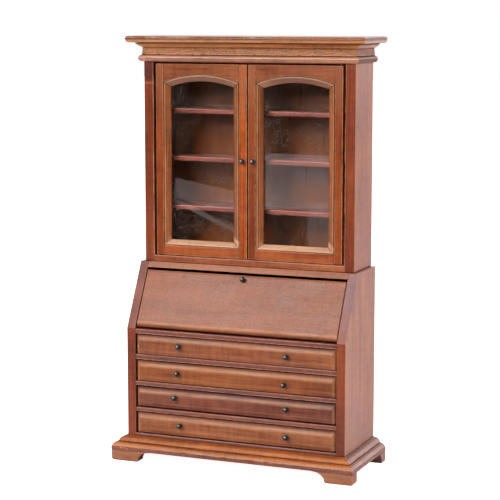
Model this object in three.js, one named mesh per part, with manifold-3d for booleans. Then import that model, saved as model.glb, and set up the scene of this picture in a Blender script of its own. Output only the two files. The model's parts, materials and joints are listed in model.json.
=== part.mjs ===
// A dolls' house secretary desk in one-twelfth scale: a glazed bookcase with two arched doors stands
// on a slant-front desk with four drawers, a moulded base and bracket feet. Millimetres, +Z up.
//
// Every piece is placed in the case frame: x = 0 is the middle of the case, y = 0 is its flat back
// and the front lies towards -y, z = 0 is the bottom of the lowest drawer opening. The exported
// group moves that frame so that the origin is under the middle of the object, on the floor.

import * as THREE from 'three';
import { mergeVertices } from 'three/addons/utils/BufferGeometryUtils.js';
import Module from 'manifold-3d';

const wasm = await Module();
wasm.setup();

// ---- driving dimensions ----------------------------------------------------------------------

const GLUE = 0.05;                 // gap between two glued faces
const ROUND_SIDES = 12;            // facets round a pin or a knob

// lower case
const LOWER_HALF = 50;             // half of the width over the sides
const LOWER_SIDE = 3.75;           // thickness of a side
const LOWER_DEPTH = 38.1;
const LOWER_TOP = 75.1;            // height of the desk's top board
const SIDE_FOOT = -5.5;            // the sides run down inside the base mouldings
const SLANT_BREAK = 47.8;          // height where the sides start to lean back
const SLANT_ANGLE = 27.5 * Math.PI / 180;   // lean of the lid from the vertical
const BACK_PANEL = 1.5;            // thickness of the back panel
const TOP_EDGE = 2.7;              // length of the desk top's sloping front edge

// writing bed, drawer dividers and bottom board, from the top down: [underside, top]
const RAILS = [[45.5, 47.5], [34.2, 36.4], [22.7, 24.6], [11.2, 13.0], [0, 1.5]];
const RAIL_NAMES = ['writing_bed', 'drawer_divider_top', 'drawer_divider_middle',
  'drawer_divider_low', 'bottom_board'];
const ARRIS = 0.5;                 // rounding of a board's front edges

// slant lid
const LID_THICK = 3.4;
const LID_HALF = 45.95;
const LID_START = 3.75;            // distance of the lid's top edge from the top of the slope
const LID_LENGTH = 24.1;           // from the top edge to the hinge rod
const ROD_RADIUS = 0.5;
const ROD_HOLE = 0.65;
const LID_KNOB = { x: -0.25, along: 6.0 };

// drawers, from the top down: [bottom and top of the front], knobs [x, z]
const DRAWERS = [
  { z: [36.6, 45.3], knobs: [[-25.3, 41.2], [24.1, 40.7]] },
  { z: [24.9, 33.8], knobs: [[-26.0, 29.4], [23.0, 28.6]] },
  { z: [13.7, 22.2], knobs: [[-27.3, 18.7], [24.2, 18.3]] },
  { z: [2.0, 10.75], knobs: [[-24.9, 6.6], [24.2, 6.3]] },
];
const DRAWER_HALF = 45.85;
const DRAWER_FACE = 38.0;          // distance of the drawer faces from the back
const DRAWER_THICK = 3.2;
const BEVEL_WIDTH = 2.4;           // raised panel on a drawer front
const BEVEL_DEPTH = 0.8;
const TRAY = { half: 44.6, wall: 1.5, floor: 1.2, back: 2.5, lift: 0.3, below_top: 1.2 };

// upper case
const UPPER_HALF = 48.25;
const UPPER_SIDE = 4.35;
const UPPER_DEPTH = 22.85;
const UPPER_TOP = 170.0;           // top of the sides, under the cornice board
const UPPER_FLOOR = 78.0;          // top of the upper case's bottom board
const UPPER_CEILING = [161.75, 164.0];
const SHELF_TOPS = [141.5, 120.8, 99.5];
const SHELF_NAMES = ['shelf_top', 'shelf_middle', 'shelf_bottom'];
const SHELF_THICK = 1.95;
const SHELF_FRONT = 17.6;          // distance of a shelf's front edge from the back
const SHELF_LEAN = 0.008;          // the shelves fall slightly to the right, in radians
const SHELF_END_GAP = 0.3;

// doors
const DOOR_WIDTH = 42.4;
const DOOR_HALF_GAP = 0.3;         // half of the gap where the doors meet
const DOOR_Z = [78.3, 161.1];
const DOOR_FACE = 22.75;           // distance of the door faces from the back
const DOOR_THICK = 2.8;
const STILE = 3.5;
const DOOR_BOTTOM_RAIL = 4.3;
const MOULDING_WIDTH = 3.0;
const ARCH_RADIUS = 48.8;          // edge of the top rail over the moulding
const ARCH_PEAK = 156.7;
const ARCH_STEPS = 12;
const GLASS = { front: 2.1, thick: 0.45, edge: 0.3 };
const HINGE_INSET = 1.4;           // hinge wire from the door's outer edge and from its face
const WIRE_RADIUS = 0.4;
const WIRE_HOLE = 0.55;
const WIRE_Z = [75.8, 163.6];
const DOOR_KNOBS = [[-2.1, 120.3], [2.8, 120.3]];

// round knobs
const KNOB = { radius: 1.15, reach: 2.6, neck: 0.5, collar: 0.8 };

// cornice and base: [overhang from the case, height]
const BEAD = { low: 162.0, high: 164.9, overhang: 1.9, root: 0.45 };
const CROWN = [[0.45, 168.2], [1.35, 168.6], [2.15, 169.0], [2.75, 169.4], [2.95, 169.9]];
const CORNICE_TOP_EDGE = [[3.3, 170.1], [4.3, 170.45], [5.2, 170.8], [5.85, 171.2], [6.05, 171.7],
  [5.95, 172.3], [5.55, 172.7], [5.0, 173.0]];
const CORNICE_SEAT = 170.05;       // top of the cornice strips
const BASE_PROFILE = [[0.3, 0.25], [0.8, -0.15], [1.8, -0.75], [2.8, -1.45], [3.0, -1.9],
  [3.5, -2.1], [4.3, -2.5], [4.9, -3.1], [5.3, -4.0], [5.5, -5.0]];
const BASE_OVERHANG = 5.5;
const APRON = -5.6;                // underside of the base mouldings
const FLOOR = -10.1;               // the ground under the feet
const FRONT_FOOT = { toe: 42.9, heel: 37.6 };
const BACK_FOOT = { toe: 5.2, heel: 8.4 };

// ---- materials -------------------------------------------------------------------------------

function finish(color, roughness, metalness = 0) {
  return new THREE.MeshStandardMaterial({ color, roughness, metalness });
}

const wood = {
  case: finish(0x8a4f35, 0.42),
  cornice: finish(0x96603f, 0.45),
  door: finish(0x93542f, 0.4),
  drawer: finish(0x7e4526, 0.42),
  lid: finish(0x9c5d40, 0.42),
  inside: finish(0x4a2a1d, 0.6),
};
const glassMaterial = finish(0xc9d2d0, 0.05);
const knobMaterial = finish(0x0d0c0c, 0.2);
const wireMaterial = finish(0x8a8378, 0.35, 1);

// ---- geometry helpers ------------------------------------------------------------------------

const v3 = (x, y, z) => new THREE.Vector3(x, y, z);

function box([x0, x1], [y0, y1], [z0, z1]) {
  const geometry = new THREE.BoxGeometry(x1 - x0, y1 - y0, z1 - z0);
  return geometry.translate((x0 + x1) / 2, (y0 + y1) / 2, (z0 + z1) / 2);
}

// A polygon, wound anticlockwise so that clockwise holes can be cut in it.
function outline(points) {
  const corners = points.map(([u, v]) => new THREE.Vector2(u, v));
  return new THREE.Shape(THREE.ShapeUtils.isClockWise(corners) ? corners.reverse() : corners);
}

// Extrudes a shape drawn in (y, z) from x0 to x1.
function alongX(shape, x0, x1) {
  const geometry = new THREE.ExtrudeGeometry(shape, extrusion(x1 - x0));
  const turn = new THREE.Matrix4().makeBasis(v3(0, 1, 0), v3(0, 0, 1), v3(1, 0, 0));
  return geometry.applyMatrix4(turn).translate(x0, 0, 0);
}

// Extrudes a shape drawn in (x, z) from y1, at the back, forwards to y0.
function alongY(shape, y0, y1) {
  const geometry = new THREE.ExtrudeGeometry(shape, extrusion(y1 - y0));
  const turn = new THREE.Matrix4().makeBasis(v3(1, 0, 0), v3(0, 0, 1), v3(0, -1, 0));
  return geometry.applyMatrix4(turn).translate(0, y1, 0);
}

// Extrudes a shape drawn in (x, y) from z0 to z1.
function alongZ(shape, z0, z1) {
  return new THREE.ExtrudeGeometry(shape, extrusion(z1 - z0)).translate(0, 0, z0);
}

function extrusion(depth) {
  return { depth, bevelEnabled: false, curveSegments: ROUND_SIDES, steps: 1 };
}

function roundHole(u, v, radius) {
  const hole = new THREE.Path();
  hole.absarc(u, v, radius, 0, 2 * Math.PI, true);
  return hole;
}

// A solid skin over rings of equally many points. An open row of rings gets flat end caps, a
// closed one joins its last ring to its first.
function loft(rings, closed = false) {
  const count = rings[0].length;
  const position = rings.flat().flatMap((p) => [p.x, p.y, p.z]);
  const index = [];
  const spans = closed ? rings.length : rings.length - 1;
  for (let r = 0; r < spans; r += 1) {
    const here = r * count;
    const next = ((r + 1) % rings.length) * count;
    for (let i = 0; i < count; i += 1) {
      const j = (i + 1) % count;
      index.push(here + i, here + j, next + j, here + i, next + j, next + i);
    }
  }
  if (!closed) {
    const last = (rings.length - 1) * count;
    for (const [a, b, c] of capTriangles(rings[0])) {
      index.push(a, c, b, last + a, last + b, last + c);
    }
  }
  const geometry = new THREE.BufferGeometry();
  geometry.setAttribute('position', new THREE.Float32BufferAttribute(position, 3));
  geometry.setIndex(index);
  return facingOut(geometry);
}

// Triangles over a flat ring, wound the same way round as the ring.
function capTriangles(ring) {
  const normal = v3(0, 0, 0);
  ring.forEach((p, i) => normal.add(p.clone().cross(ring[(i + 1) % ring.length])));
  const turn = new THREE.Quaternion().setFromUnitVectors(normal.normalize(), v3(0, 0, 1));
  const flat = ring.map((p) => p.clone().applyQuaternion(turn));
  return THREE.ShapeUtils.triangulateShape(flat.map((p) => new THREE.Vector2(p.x, p.y)), []);
}

function facingOut(geometry) {
  const position = geometry.getAttribute('position');
  const index = geometry.getIndex().array;
  const [a, b, c] = [v3(), v3(), v3()];
  let volume = 0;
  for (let i = 0; i < index.length; i += 3) {
    a.fromBufferAttribute(position, index[i]);
    b.fromBufferAttribute(position, index[i + 1]);
    c.fromBufferAttribute(position, index[i + 2]);
    volume += a.dot(b.cross(c));
  }
  if (volume < 0) {
    geometry.setIndex(Array.from(index).reverse());
  }
  return geometry;
}

function toManifold(geometry) {
  const bare = geometry.clone();
  bare.deleteAttribute('normal');
  bare.deleteAttribute('uv');
  const merged = mergeVertices(bare, 1e-4);
  return new wasm.Manifold(new wasm.Mesh({
    numProp: 3,
    vertProperties: new Float32Array(merged.getAttribute('position').array),
    triVerts: new Uint32Array(merged.getIndex().array),
  }));
}

function fromManifold(solid) {
  const mesh = solid.getMesh();
  const geometry = new THREE.BufferGeometry();
  geometry.setAttribute('position', new THREE.BufferAttribute(mesh.vertProperties, 3));
  geometry.setIndex(new THREE.BufferAttribute(mesh.triVerts, 1));
  return geometry;
}

function cut(geometry, ...tools) {
  return fromManifold(tools.reduce((solid, tool) => solid.subtract(toManifold(tool)),
    toManifold(geometry)));
}

function join(geometry, other) {
  return fromManifold(toManifold(geometry).add(toManifold(other)));
}

function rodAlongX(x0, x1, y, z, radius) {
  const geometry = new THREE.CylinderGeometry(radius, radius, x1 - x0, ROUND_SIDES);
  return geometry.rotateZ(Math.PI / 2).translate((x0 + x1) / 2, y, z);
}

function rodAlongZ(x, y, [z0, z1], radius) {
  const geometry = new THREE.CylinderGeometry(radius, radius, z1 - z0, ROUND_SIDES);
  return geometry.rotateX(Math.PI / 2).translate(x, y, (z0 + z1) / 2);
}

// ---- shared outlines -------------------------------------------------------------------------

// A point on the slope of the desk: `along` runs down it from the top, `deep` goes into the case.
const SLOPE_TOP = [-(LOWER_DEPTH - (LOWER_TOP - SLANT_BREAK) * Math.tan(SLANT_ANGLE)), LOWER_TOP];
function slopePoint(along, deep = 0) {
  const [sin, cos] = [Math.sin(SLANT_ANGLE), Math.cos(SLANT_ANGLE)];
  return [SLOPE_TOP[0] - along * sin + deep * cos, SLOPE_TOP[1] - along * cos - deep * sin];
}

const PIVOT = slopePoint(LID_START + LID_LENGTH, LID_THICK / 2);

// A board that runs across the case, with its two front edges rounded.
function boardAcross(half, front, back, [z0, z1], radius = ARRIS) {
  const shape = new THREE.Shape();
  shape.moveTo(-back, z0);
  shape.lineTo(-back, z1);
  shape.lineTo(-front + radius, z1);
  shape.absarc(-front + radius, z1 - radius, radius, Math.PI / 2, Math.PI, false);
  shape.absarc(-front + radius, z0 + radius, radius, Math.PI, 1.5 * Math.PI, false);
  const geometry = new THREE.ExtrudeGeometry(shape, { ...extrusion(2 * half), curveSegments: 3 });
  const turn = new THREE.Matrix4().makeBasis(v3(0, 1, 0), v3(0, 0, 1), v3(1, 0, 0));
  return geometry.applyMatrix4(turn).translate(-half, 0, 0);
}

// One strip of a moulding that is mitred round the front corners of a case.
function mitredStrip(side, half, depth, profile) {
  const frontCorner = (sign) => profile.map(([o, z]) => v3(sign * (half + o), -(depth + o), z));
  if (side === 'front') {
    return loft([frontCorner(-1), frontCorner(1)]);
  }
  const sign = side === 'left' ? -1 : 1;
  const backEnd = profile.map(([o, z]) => v3(sign * (half + o), 0, z));
  return loft([frontCorner(sign), backEnd]);
}

// ---- pieces ----------------------------------------------------------------------------------

const object = new THREE.Group();
object.name = 'secretary_desk';
object.position.set(0, (LOWER_DEPTH + BASE_OVERHANG) / 2, -FLOOR);

function add(name, geometry, material) {
  const mesh = new THREE.Mesh(geometry, material);
  mesh.name = name;
  object.add(mesh);
  return mesh;
}

function lowerCase() {
  const side = outline([[0, SIDE_FOOT], [-LOWER_DEPTH, SIDE_FOOT], [-LOWER_DEPTH, SLANT_BREAK],
    SLOPE_TOP, [0, LOWER_TOP]]);
  side.holes.push(roundHole(...PIVOT, ROD_HOLE));
  const inner = LOWER_HALF - LOWER_SIDE;
  add('lower_side_left', alongX(side, -LOWER_HALF, -inner), wood.case);
  add('lower_side_right', alongX(side, inner, LOWER_HALF), wood.case);

  const half = inner - GLUE;
  RAILS.forEach((z, i) => {
    const board = boardAcross(half, LOWER_DEPTH, BACK_PANEL + GLUE, z);
    add(RAIL_NAMES[i], board, wood.case);
  });
  const edge = slopePoint(TOP_EDGE);
  const top = outline([[-BACK_PANEL - GLUE, edge[1]], edge, SLOPE_TOP,
    [-BACK_PANEL - GLUE, LOWER_TOP]]);
  add('desk_top_board', alongX(top, -half, half), wood.case);
}

function backPanel() {
  const low = LOWER_HALF - LOWER_SIDE - GLUE;
  const high = UPPER_HALF - UPPER_SIDE - GLUE;
  const step = LOWER_TOP - GLUE;
  const panel = outline([[-low, 0], [low, 0], [low, step], [high, step], [high, UPPER_TOP],
    [-high, UPPER_TOP], [-high, step], [-low, step]]);
  add('back_panel', alongY(panel, -BACK_PANEL, 0), wood.inside);
}

function slantLid() {
  const lid = new THREE.Shape();
  lid.moveTo(...slopePoint(LID_START));
  lid.lineTo(...slopePoint(LID_START + LID_LENGTH));
  const start = Math.PI - SLANT_ANGLE;
  lid.absarc(...PIVOT, LID_THICK / 2, start, start + Math.PI, false);
  lid.lineTo(...slopePoint(LID_START, LID_THICK));
  lid.holes.push(roundHole(...PIVOT, ROD_HOLE));
  add('slant_lid', alongX(lid, -LID_HALF, LID_HALF), wood.lid);
  add('lid_hinge_rod', rodAlongX(-LOWER_HALF, LOWER_HALF, ...PIVOT, ROD_RADIUS), wireMaterial);

  const knob = add('lid_knob', knobGeometry(), knobMaterial);
  const [y, z] = slopePoint(LID_KNOB.along);
  knob.position.set(LID_KNOB.x, y, z);
  knob.rotation.x = -SLANT_ANGLE;
}

// A ball on a short neck with a small collar, standing out from its seat towards -y.
function knobGeometry() {
  const { radius, reach, neck, collar } = KNOB;
  const centre = reach - radius;
  const joint = Math.asin(neck / radius);
  const profile = [[0, GLUE], [collar, GLUE], [collar, 0.3], [neck, 0.45]];
  for (const t of [0, 0.2, 0.4, 0.6, 0.8, 1]) {
    const angle = Math.PI - joint - t * (Math.PI - joint);
    const r = t === 1 ? 0 : radius * Math.sin(angle);
    profile.push([r, centre + radius * Math.cos(angle)]);
  }
  const points = profile.map(([r, h]) => new THREE.Vector2(r, h));
  return new THREE.LatheGeometry(points, ROUND_SIDES).rotateX(Math.PI);
}

// A drawer: raised-panel front, an open tray behind it and two knobs.
function drawer(number, { z: [z0, z1], knobs }) {
  const name = `drawer_${number}`;
  const face = -DRAWER_FACE;
  const ring = (inset, y) => [v3(-DRAWER_HALF + inset, y, z0 + inset),
    v3(DRAWER_HALF - inset, y, z0 + inset), v3(DRAWER_HALF - inset, y, z1 - inset),
    v3(-DRAWER_HALF + inset, y, z1 - inset)];
  const front = loft([ring(0, face + DRAWER_THICK), ring(0, face + BEVEL_DEPTH),
    ring(BEVEL_WIDTH * 0.25, face + BEVEL_DEPTH * 0.35), ring(BEVEL_WIDTH, face)]);
  add(`${name}_front`, front, wood.drawer);

  const trayFront = face + DRAWER_THICK + GLUE;
  const [low, high] = [z0 + TRAY.lift, z1 - TRAY.below_top];
  const { half, wall, floor, back } = TRAY;
  const shell = box([-half, half], [trayFront, -back], [low, high]);
  const hollow = box([-half + wall, half - wall], [trayFront + wall, -back - wall],
    [low + floor, high + 1]);
  add(`${name}_tray`, cut(shell, hollow), wood.inside);

  knobs.forEach(([x, z], i) => {
    const knob = add(`${name}_knob_${i === 0 ? 'left' : 'right'}`, knobGeometry(), knobMaterial);
    knob.position.set(x, face, z);
  });
}

function upperCase() {
  const inner = UPPER_HALF - UPPER_SIDE;
  const heights = [LOWER_TOP + GLUE, UPPER_TOP];
  add('upper_side_left', box([-UPPER_HALF, -inner], [-UPPER_DEPTH, 0], heights), wood.case);
  add('upper_side_right', box([inner, UPPER_HALF], [-UPPER_DEPTH, 0], heights), wood.case);

  const half = inner - GLUE;
  const back = BACK_PANEL + GLUE;
  const bottom = boardAcross(half, UPPER_DEPTH, back, [LOWER_TOP + GLUE, UPPER_FLOOR]);
  const top = boardAcross(half, UPPER_DEPTH, back, UPPER_CEILING);
  const holes = [-1, 1].map((sign) => rodAlongZ(sign * hingeX(), hingeY(), [70, 170], WIRE_HOLE));
  add('upper_bottom_board', cut(bottom, ...holes), wood.case);
  add('upper_top_board', cut(top, ...holes), wood.case);

  SHELF_TOPS.forEach((z, i) => {
    const shelf = boardAcross(inner - SHELF_END_GAP, SHELF_FRONT, back, [-SHELF_THICK, 0], 0.4);
    const mesh = add(SHELF_NAMES[i], shelf, wood.inside);
    mesh.position.z = z;
    mesh.rotation.y = SHELF_LEAN;
  });
}

function hingeX() {
  return DOOR_HALF_GAP + DOOR_WIDTH - HINGE_INSET;
}

function hingeY() {
  return -DOOR_FACE + HINGE_INSET;
}

// The outline of a door's opening, moved inwards by `inset`, as points (x, z) from the door's
// middle: two straight sides, a straight bottom and a low arch that springs from the sides.
function archedOutline(inset) {
  const half = DOOR_WIDTH / 2 - STILE - inset;
  const radius = ARCH_RADIUS - inset;
  const centre = ARCH_PEAK - ARCH_RADIUS;
  const spring = Math.asin(half / radius);
  const points = [[-half, DOOR_Z[0] + DOOR_BOTTOM_RAIL + inset],
    [half, DOOR_Z[0] + DOOR_BOTTOM_RAIL + inset]];
  for (let i = 0; i <= ARCH_STEPS; i += 1) {
    const angle = spring * (1 - 2 * i / ARCH_STEPS);
    points.push([radius * Math.sin(angle), centre + radius * Math.cos(angle)]);
  }
  return points;
}

function door(name, sign) {
  const middle = sign * (DOOR_HALF_GAP + DOOR_WIDTH / 2);
  const face = -DOOR_FACE;
  const back = face + DOOR_THICK;
  const inner = DOOR_WIDTH / 2 - STILE;
  const place = (part, geometry, material) => {
    add(`${name}_${part}`, geometry.translate(middle, 0, 0), material);
  };

  const stile = (side) => {
    const [a, b] = [side * (inner + GLUE), side * DOOR_WIDTH / 2];
    return outline([[a, face], [b, face], [b, back], [a, back]]);
  };
  const hingeStile = stile(sign);
  hingeStile.holes.push(roundHole(sign * (DOOR_WIDTH / 2 - HINGE_INSET), hingeY(), WIRE_HOLE));
  place('hinge_stile', alongZ(hingeStile, ...DOOR_Z), wood.door);
  place('meeting_stile', alongZ(stile(-sign), ...DOOR_Z), wood.door);

  const railTop = DOOR_Z[0] + DOOR_BOTTOM_RAIL;
  place('bottom_rail', box([-inner, inner], [face, back], [DOOR_Z[0], railTop]), wood.door);
  const arch = archedOutline(0).slice(2);
  const topRail = outline([...arch, [-inner, DOOR_Z[1]], [inner, DOOR_Z[1]]]);
  place('top_rail', alongY(topRail, face, back), wood.door);

  // the moulding drops from the frame's face to the glass: [inset, depth behind the face]
  const section = [[GLUE, 0.25], [0.4, 0.05], [0.9, 0.15], [1.5, 0.55], [2.1, 1.05], [2.6, 1.3],
    [MOULDING_WIDTH, 1.45], [MOULDING_WIDTH, GLASS.front - GLUE], [GLUE, GLASS.front - GLUE]];
  const rings = section.map(([inset, depth]) => archedOutline(inset)
    .map(([x, z]) => v3(x, face + depth, z)));
  place('moulding', loft(rings, true), wood.door);

  const pane = outline(archedOutline(GLASS.edge));
  const paneFront = face + GLASS.front;
  place('glass', alongY(pane, paneFront, paneFront + GLASS.thick), glassMaterial);

  const knob = add(`${name}_knob`, knobGeometry(), knobMaterial);
  const [x, z] = DOOR_KNOBS[sign < 0 ? 0 : 1];
  knob.position.set(x, face, z);
  const wire = rodAlongZ(sign * hingeX(), hingeY(), WIRE_Z, WIRE_RADIUS);
  add(`${name}_hinge_wire`, wire, wireMaterial);
}

function cornice() {
  const bead = [];
  const [middle, rise] = [(BEAD.low + BEAD.high) / 2, (BEAD.high - BEAD.low) / 2];
  for (let i = 0; i <= 8; i += 1) {
    const angle = Math.PI * (i / 8 - 0.5);
    bead.push([BEAD.root + (BEAD.overhang - BEAD.root) * Math.cos(angle),
      middle + rise * Math.sin(angle)]);
  }
  const profile = [[GLUE, BEAD.low], ...bead, ...CROWN, [CROWN.at(-1)[0], CORNICE_SEAT],
    [GLUE, CORNICE_SEAT]];
  for (const side of ['front', 'left', 'right']) {
    add(`cornice_${side}`, mitredStrip(side, UPPER_HALF, UPPER_DEPTH, profile), wood.cornice);
  }
  const rings = CORNICE_TOP_EDGE.map(([o, z]) => [v3(-UPPER_HALF - o, 0, z),
    v3(-UPPER_HALF - o, -UPPER_DEPTH - o, z), v3(UPPER_HALF + o, -UPPER_DEPTH - o, z),
    v3(UPPER_HALF + o, 0, z)]);
  add('cornice_top_board', loft(rings), wood.cornice);
}

function base() {
  const profile = [[GLUE, BASE_PROFILE[0][1]], ...BASE_PROFILE, [BASE_OVERHANG, APRON],
    [GLUE, APRON]];
  const strip = (side) => mitredStrip(side, LOWER_HALF, LOWER_DEPTH, profile);
  add('base_moulding_front', strip('front'), wood.cornice);

  // the back feet are in one piece with the side mouldings
  const backFoot = new THREE.Shape();
  backFoot.moveTo(0, -5.2);
  backFoot.lineTo(0, FLOOR);
  backFoot.lineTo(-BACK_FOOT.toe, FLOOR);
  backFoot.quadraticCurveTo(-BACK_FOOT.toe - 0.4, APRON - 0.6, -BACK_FOOT.heel, APRON);
  backFoot.lineTo(-BACK_FOOT.heel, -5.2);
  const [inside, outside] = [LOWER_HALF + GLUE, LOWER_HALF + BASE_OVERHANG];
  const left = join(strip('left'), alongX(backFoot, -outside, -inside));
  const right = join(strip('right'), alongX(backFoot, inside, outside));
  add('base_moulding_left', left, wood.cornice);
  add('base_moulding_right', right, wood.cornice);

  for (const [name, sign] of [['front_foot_left', -1], ['front_foot_right', 1]]) {
    const foot = new THREE.Shape();
    foot.moveTo(sign * outside, APRON - GLUE);
    foot.lineTo(sign * outside, FLOOR);
    foot.lineTo(sign * FRONT_FOOT.toe, FLOOR);
    foot.quadraticCurveTo(sign * (FRONT_FOOT.toe - 0.8), APRON - 0.5,
      sign * FRONT_FOOT.heel, APRON - GLUE);
    const [front, back] = [-LOWER_DEPTH - BASE_OVERHANG, -LOWER_DEPTH - GLUE];
    add(name, alongY(foot, front, back), wood.cornice);
  }
}

backPanel();
lowerCase();
slantLid();
DRAWERS.forEach((spec, i) => drawer(i + 1, spec));
upperCase();
door('left_door', -1);
door('right_door', 1);
cornice();
base();

export default object;
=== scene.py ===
"""The looks of a dolls' house secretary desk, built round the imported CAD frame.

Straight boards keep their CAD solids and get rounded, worn arrises. Mouldings, drawer fronts, the
slant lid, door mouldings, glass, knobs and pins are built here as finer pieces that stand for their
CAD nodes. The frame is in metres, and MM turns millimetres into them.
"""
import json
import math
import bmesh
import bpy
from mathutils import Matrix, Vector, noise


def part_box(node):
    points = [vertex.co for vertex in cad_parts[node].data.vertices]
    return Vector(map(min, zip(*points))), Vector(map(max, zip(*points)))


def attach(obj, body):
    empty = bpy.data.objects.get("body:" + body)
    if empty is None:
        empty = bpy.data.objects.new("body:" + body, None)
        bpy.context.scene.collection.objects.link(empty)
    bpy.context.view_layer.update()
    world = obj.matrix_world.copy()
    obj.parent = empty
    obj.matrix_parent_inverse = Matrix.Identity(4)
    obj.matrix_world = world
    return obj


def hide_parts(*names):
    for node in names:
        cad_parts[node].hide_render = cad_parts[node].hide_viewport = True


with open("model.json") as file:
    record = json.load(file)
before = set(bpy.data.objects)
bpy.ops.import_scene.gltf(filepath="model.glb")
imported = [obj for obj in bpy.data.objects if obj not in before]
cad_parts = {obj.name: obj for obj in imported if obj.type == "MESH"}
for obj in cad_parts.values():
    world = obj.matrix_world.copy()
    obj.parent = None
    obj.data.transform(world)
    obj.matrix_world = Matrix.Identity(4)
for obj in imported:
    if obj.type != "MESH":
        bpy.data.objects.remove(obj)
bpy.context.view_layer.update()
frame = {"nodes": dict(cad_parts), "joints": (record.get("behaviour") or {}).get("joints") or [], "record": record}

MM = 0.001
SCENE = bpy.context.scene
NODES = frame["nodes"]
BODY_OF = {node: name for name, nodes in frame["record"]["behaviour"]["bodies"].items() for node in nodes}


# ---- camera and light ----

# the camera fitted to the photograph's straight edges: lens in mm, place in metres, angles in radians
CAMERA_LENS = 120.8
CAMERA_PLACE = (0.2727, -0.6563, 0.1927)
CAMERA_LOOKS_DOWN = 0.1403
CAMERA_TURNED = 0.3927
TABLE_HALF_WIDTH, TABLE_FRONT, TABLE_BACK = 2.5, -0.3, 4.0
BLACK_ROOM, WHITE_SWEEP = 0.03, 1.25        # how bright the studio is in front and behind


def add_object(name, data):
    made = bpy.data.objects.new(name, data)
    SCENE.collection.objects.link(made)
    return made


def mesh_object(name, points, faces, materials):
    mesh = bpy.data.meshes.new(name)
    mesh.from_pydata(points, [], faces)
    for material in materials:
        mesh.materials.append(material)
    return add_object(name, mesh)


def add_camera():
    data = bpy.data.cameras.new("camera")
    data.lens = CAMERA_LENS
    data.sensor_width = 36
    data.clip_start = 0.01
    camera = add_object("camera", data)
    camera.location = CAMERA_PLACE
    camera.rotation_euler = (math.pi / 2 - CAMERA_LOOKS_DOWN, 0, CAMERA_TURNED)
    SCENE.camera = camera


def add_softbox(name, place, target, size, power):
    """A rectangular lamp at a place in metres, turned to a target."""
    data = bpy.data.lights.new(name, "AREA")
    data.shape = "RECTANGLE"
    data.size, data.size_y = size
    data.energy = power
    light = add_object(name, data)
    light.location = place
    light.rotation_euler = (Vector(target) - Vector(place)).to_track_quat("-Z", "Y").to_euler()
    return light


def light_studio():
    """A white sweep behind and above the object, a dark room low in front of it and two softboxes."""
    world = bpy.data.worlds.new("studio")
    SCENE.world = world
    world.use_nodes = True
    graph = Graph(world.node_tree)
    direction = graph.add("ShaderNodeTexCoord").outputs["Generated"]
    level = graph.measure("DOT_PRODUCT", direction, (0.3, 0.85, 0.25))
    around = graph.remap(level, -0.1, 0.5, BLACK_ROOM, WHITE_SWEEP)
    seen = graph.add("ShaderNodeLightPath").outputs["Is Camera Ray"]
    strength = graph.add("ShaderNodeMix", {0: seen, 2: around, 3: 1.0}, data_type="FLOAT").outputs[0]
    tint = graph.mix_colour(graph.remap(strength, 0.05, 0.4), (1, 0.88, 0.75, 1), (1, 1, 1, 1))
    background = graph.add("ShaderNodeBackground", {"Color": tint, "Strength": strength})
    graph.add("ShaderNodeOutputWorld", {"Surface": background.outputs[0]})
    add_softbox("key", (-0.34, -0.88, 0.66), (0, 0, 0.09), size=(0.6, 0.5), power=10)
    add_softbox("right", (0.9, 0.1, 0.3), (0.02, 0, 0.09), size=(0.5, 0.5), power=4)
    add_reflection_cards()
    SCENE.view_settings.view_transform = "Standard"


# the cards that the panes mirror: corners as (x, z) on the doors' glass in mm, brightness, and how far in
# front of the object each card stands, in metres
CARDS = (
    (((-34.9, 122.1), (-26.4, 120.5), (-18.1, 119.1), (-11.9, 118.2), (-6.4, 117.3), (-6.9, 109.5),
      (-18.6, 109.8), (-26.1, 110.8), (-34.9, 113.9)), 1.0, 1.4),
    (((-34.9, 113), (-25.2, 109.5), (-15.8, 105.2), (-6.4, 101.7), (-6.4, 99.6), (-15.8, 103),
      (-25.2, 106.9), (-34.9, 111.7)), 1.0, 1.42),
    (((7.4, 133.8), (36.7, 133.9), (36.8, 111.4), (7.5, 110.1)), 1.4, 1.5),
    (((26.5, 111), (36.8, 111.4), (36.9, 95.4), (26.6, 94.8)), 0.65, 1.5),
    (((21.1, 127.3), (35.4, 126.9), (35.5, 113.9), (18.4, 113.6)), 1.0, 1.4),
)
CARD_TINT = (1.0, 0.85, 0.85, 1)


def add_reflection_cards():
    """Pale cards in the dark part of the room, laid out by where the panes mirror them to the camera."""
    eye = SCENE.camera.location
    glass_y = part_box("left_door_glass")[0].y
    for number, (corners, glow, distance) in enumerate(CARDS):
        points = []
        for x, z in corners:
            seen = Vector((x * MM, glass_y, z * MM))
            ray = seen - eye
            ray.y = -ray.y
            points.append(seen + ray * ((-distance - seen.y) / ray.y))
        material, graph = new_material(f"card_{number}")
        haze = graph.noise(graph.place(), 9)
        strength = graph.remap(haze, 0.35, 0.65, 0.7 * glow, 1.3 * glow)
        glowing = graph.add("ShaderNodeEmission", {"Color": CARD_TINT, "Strength": strength})
        graph.add("ShaderNodeOutputMaterial", {"Surface": glowing.outputs[0]})
        card = mesh_object(f"card_{number}", points, [tuple(range(len(points)))], [material])
        card.visible_camera = card.visible_diffuse = card.visible_shadow = False


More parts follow.
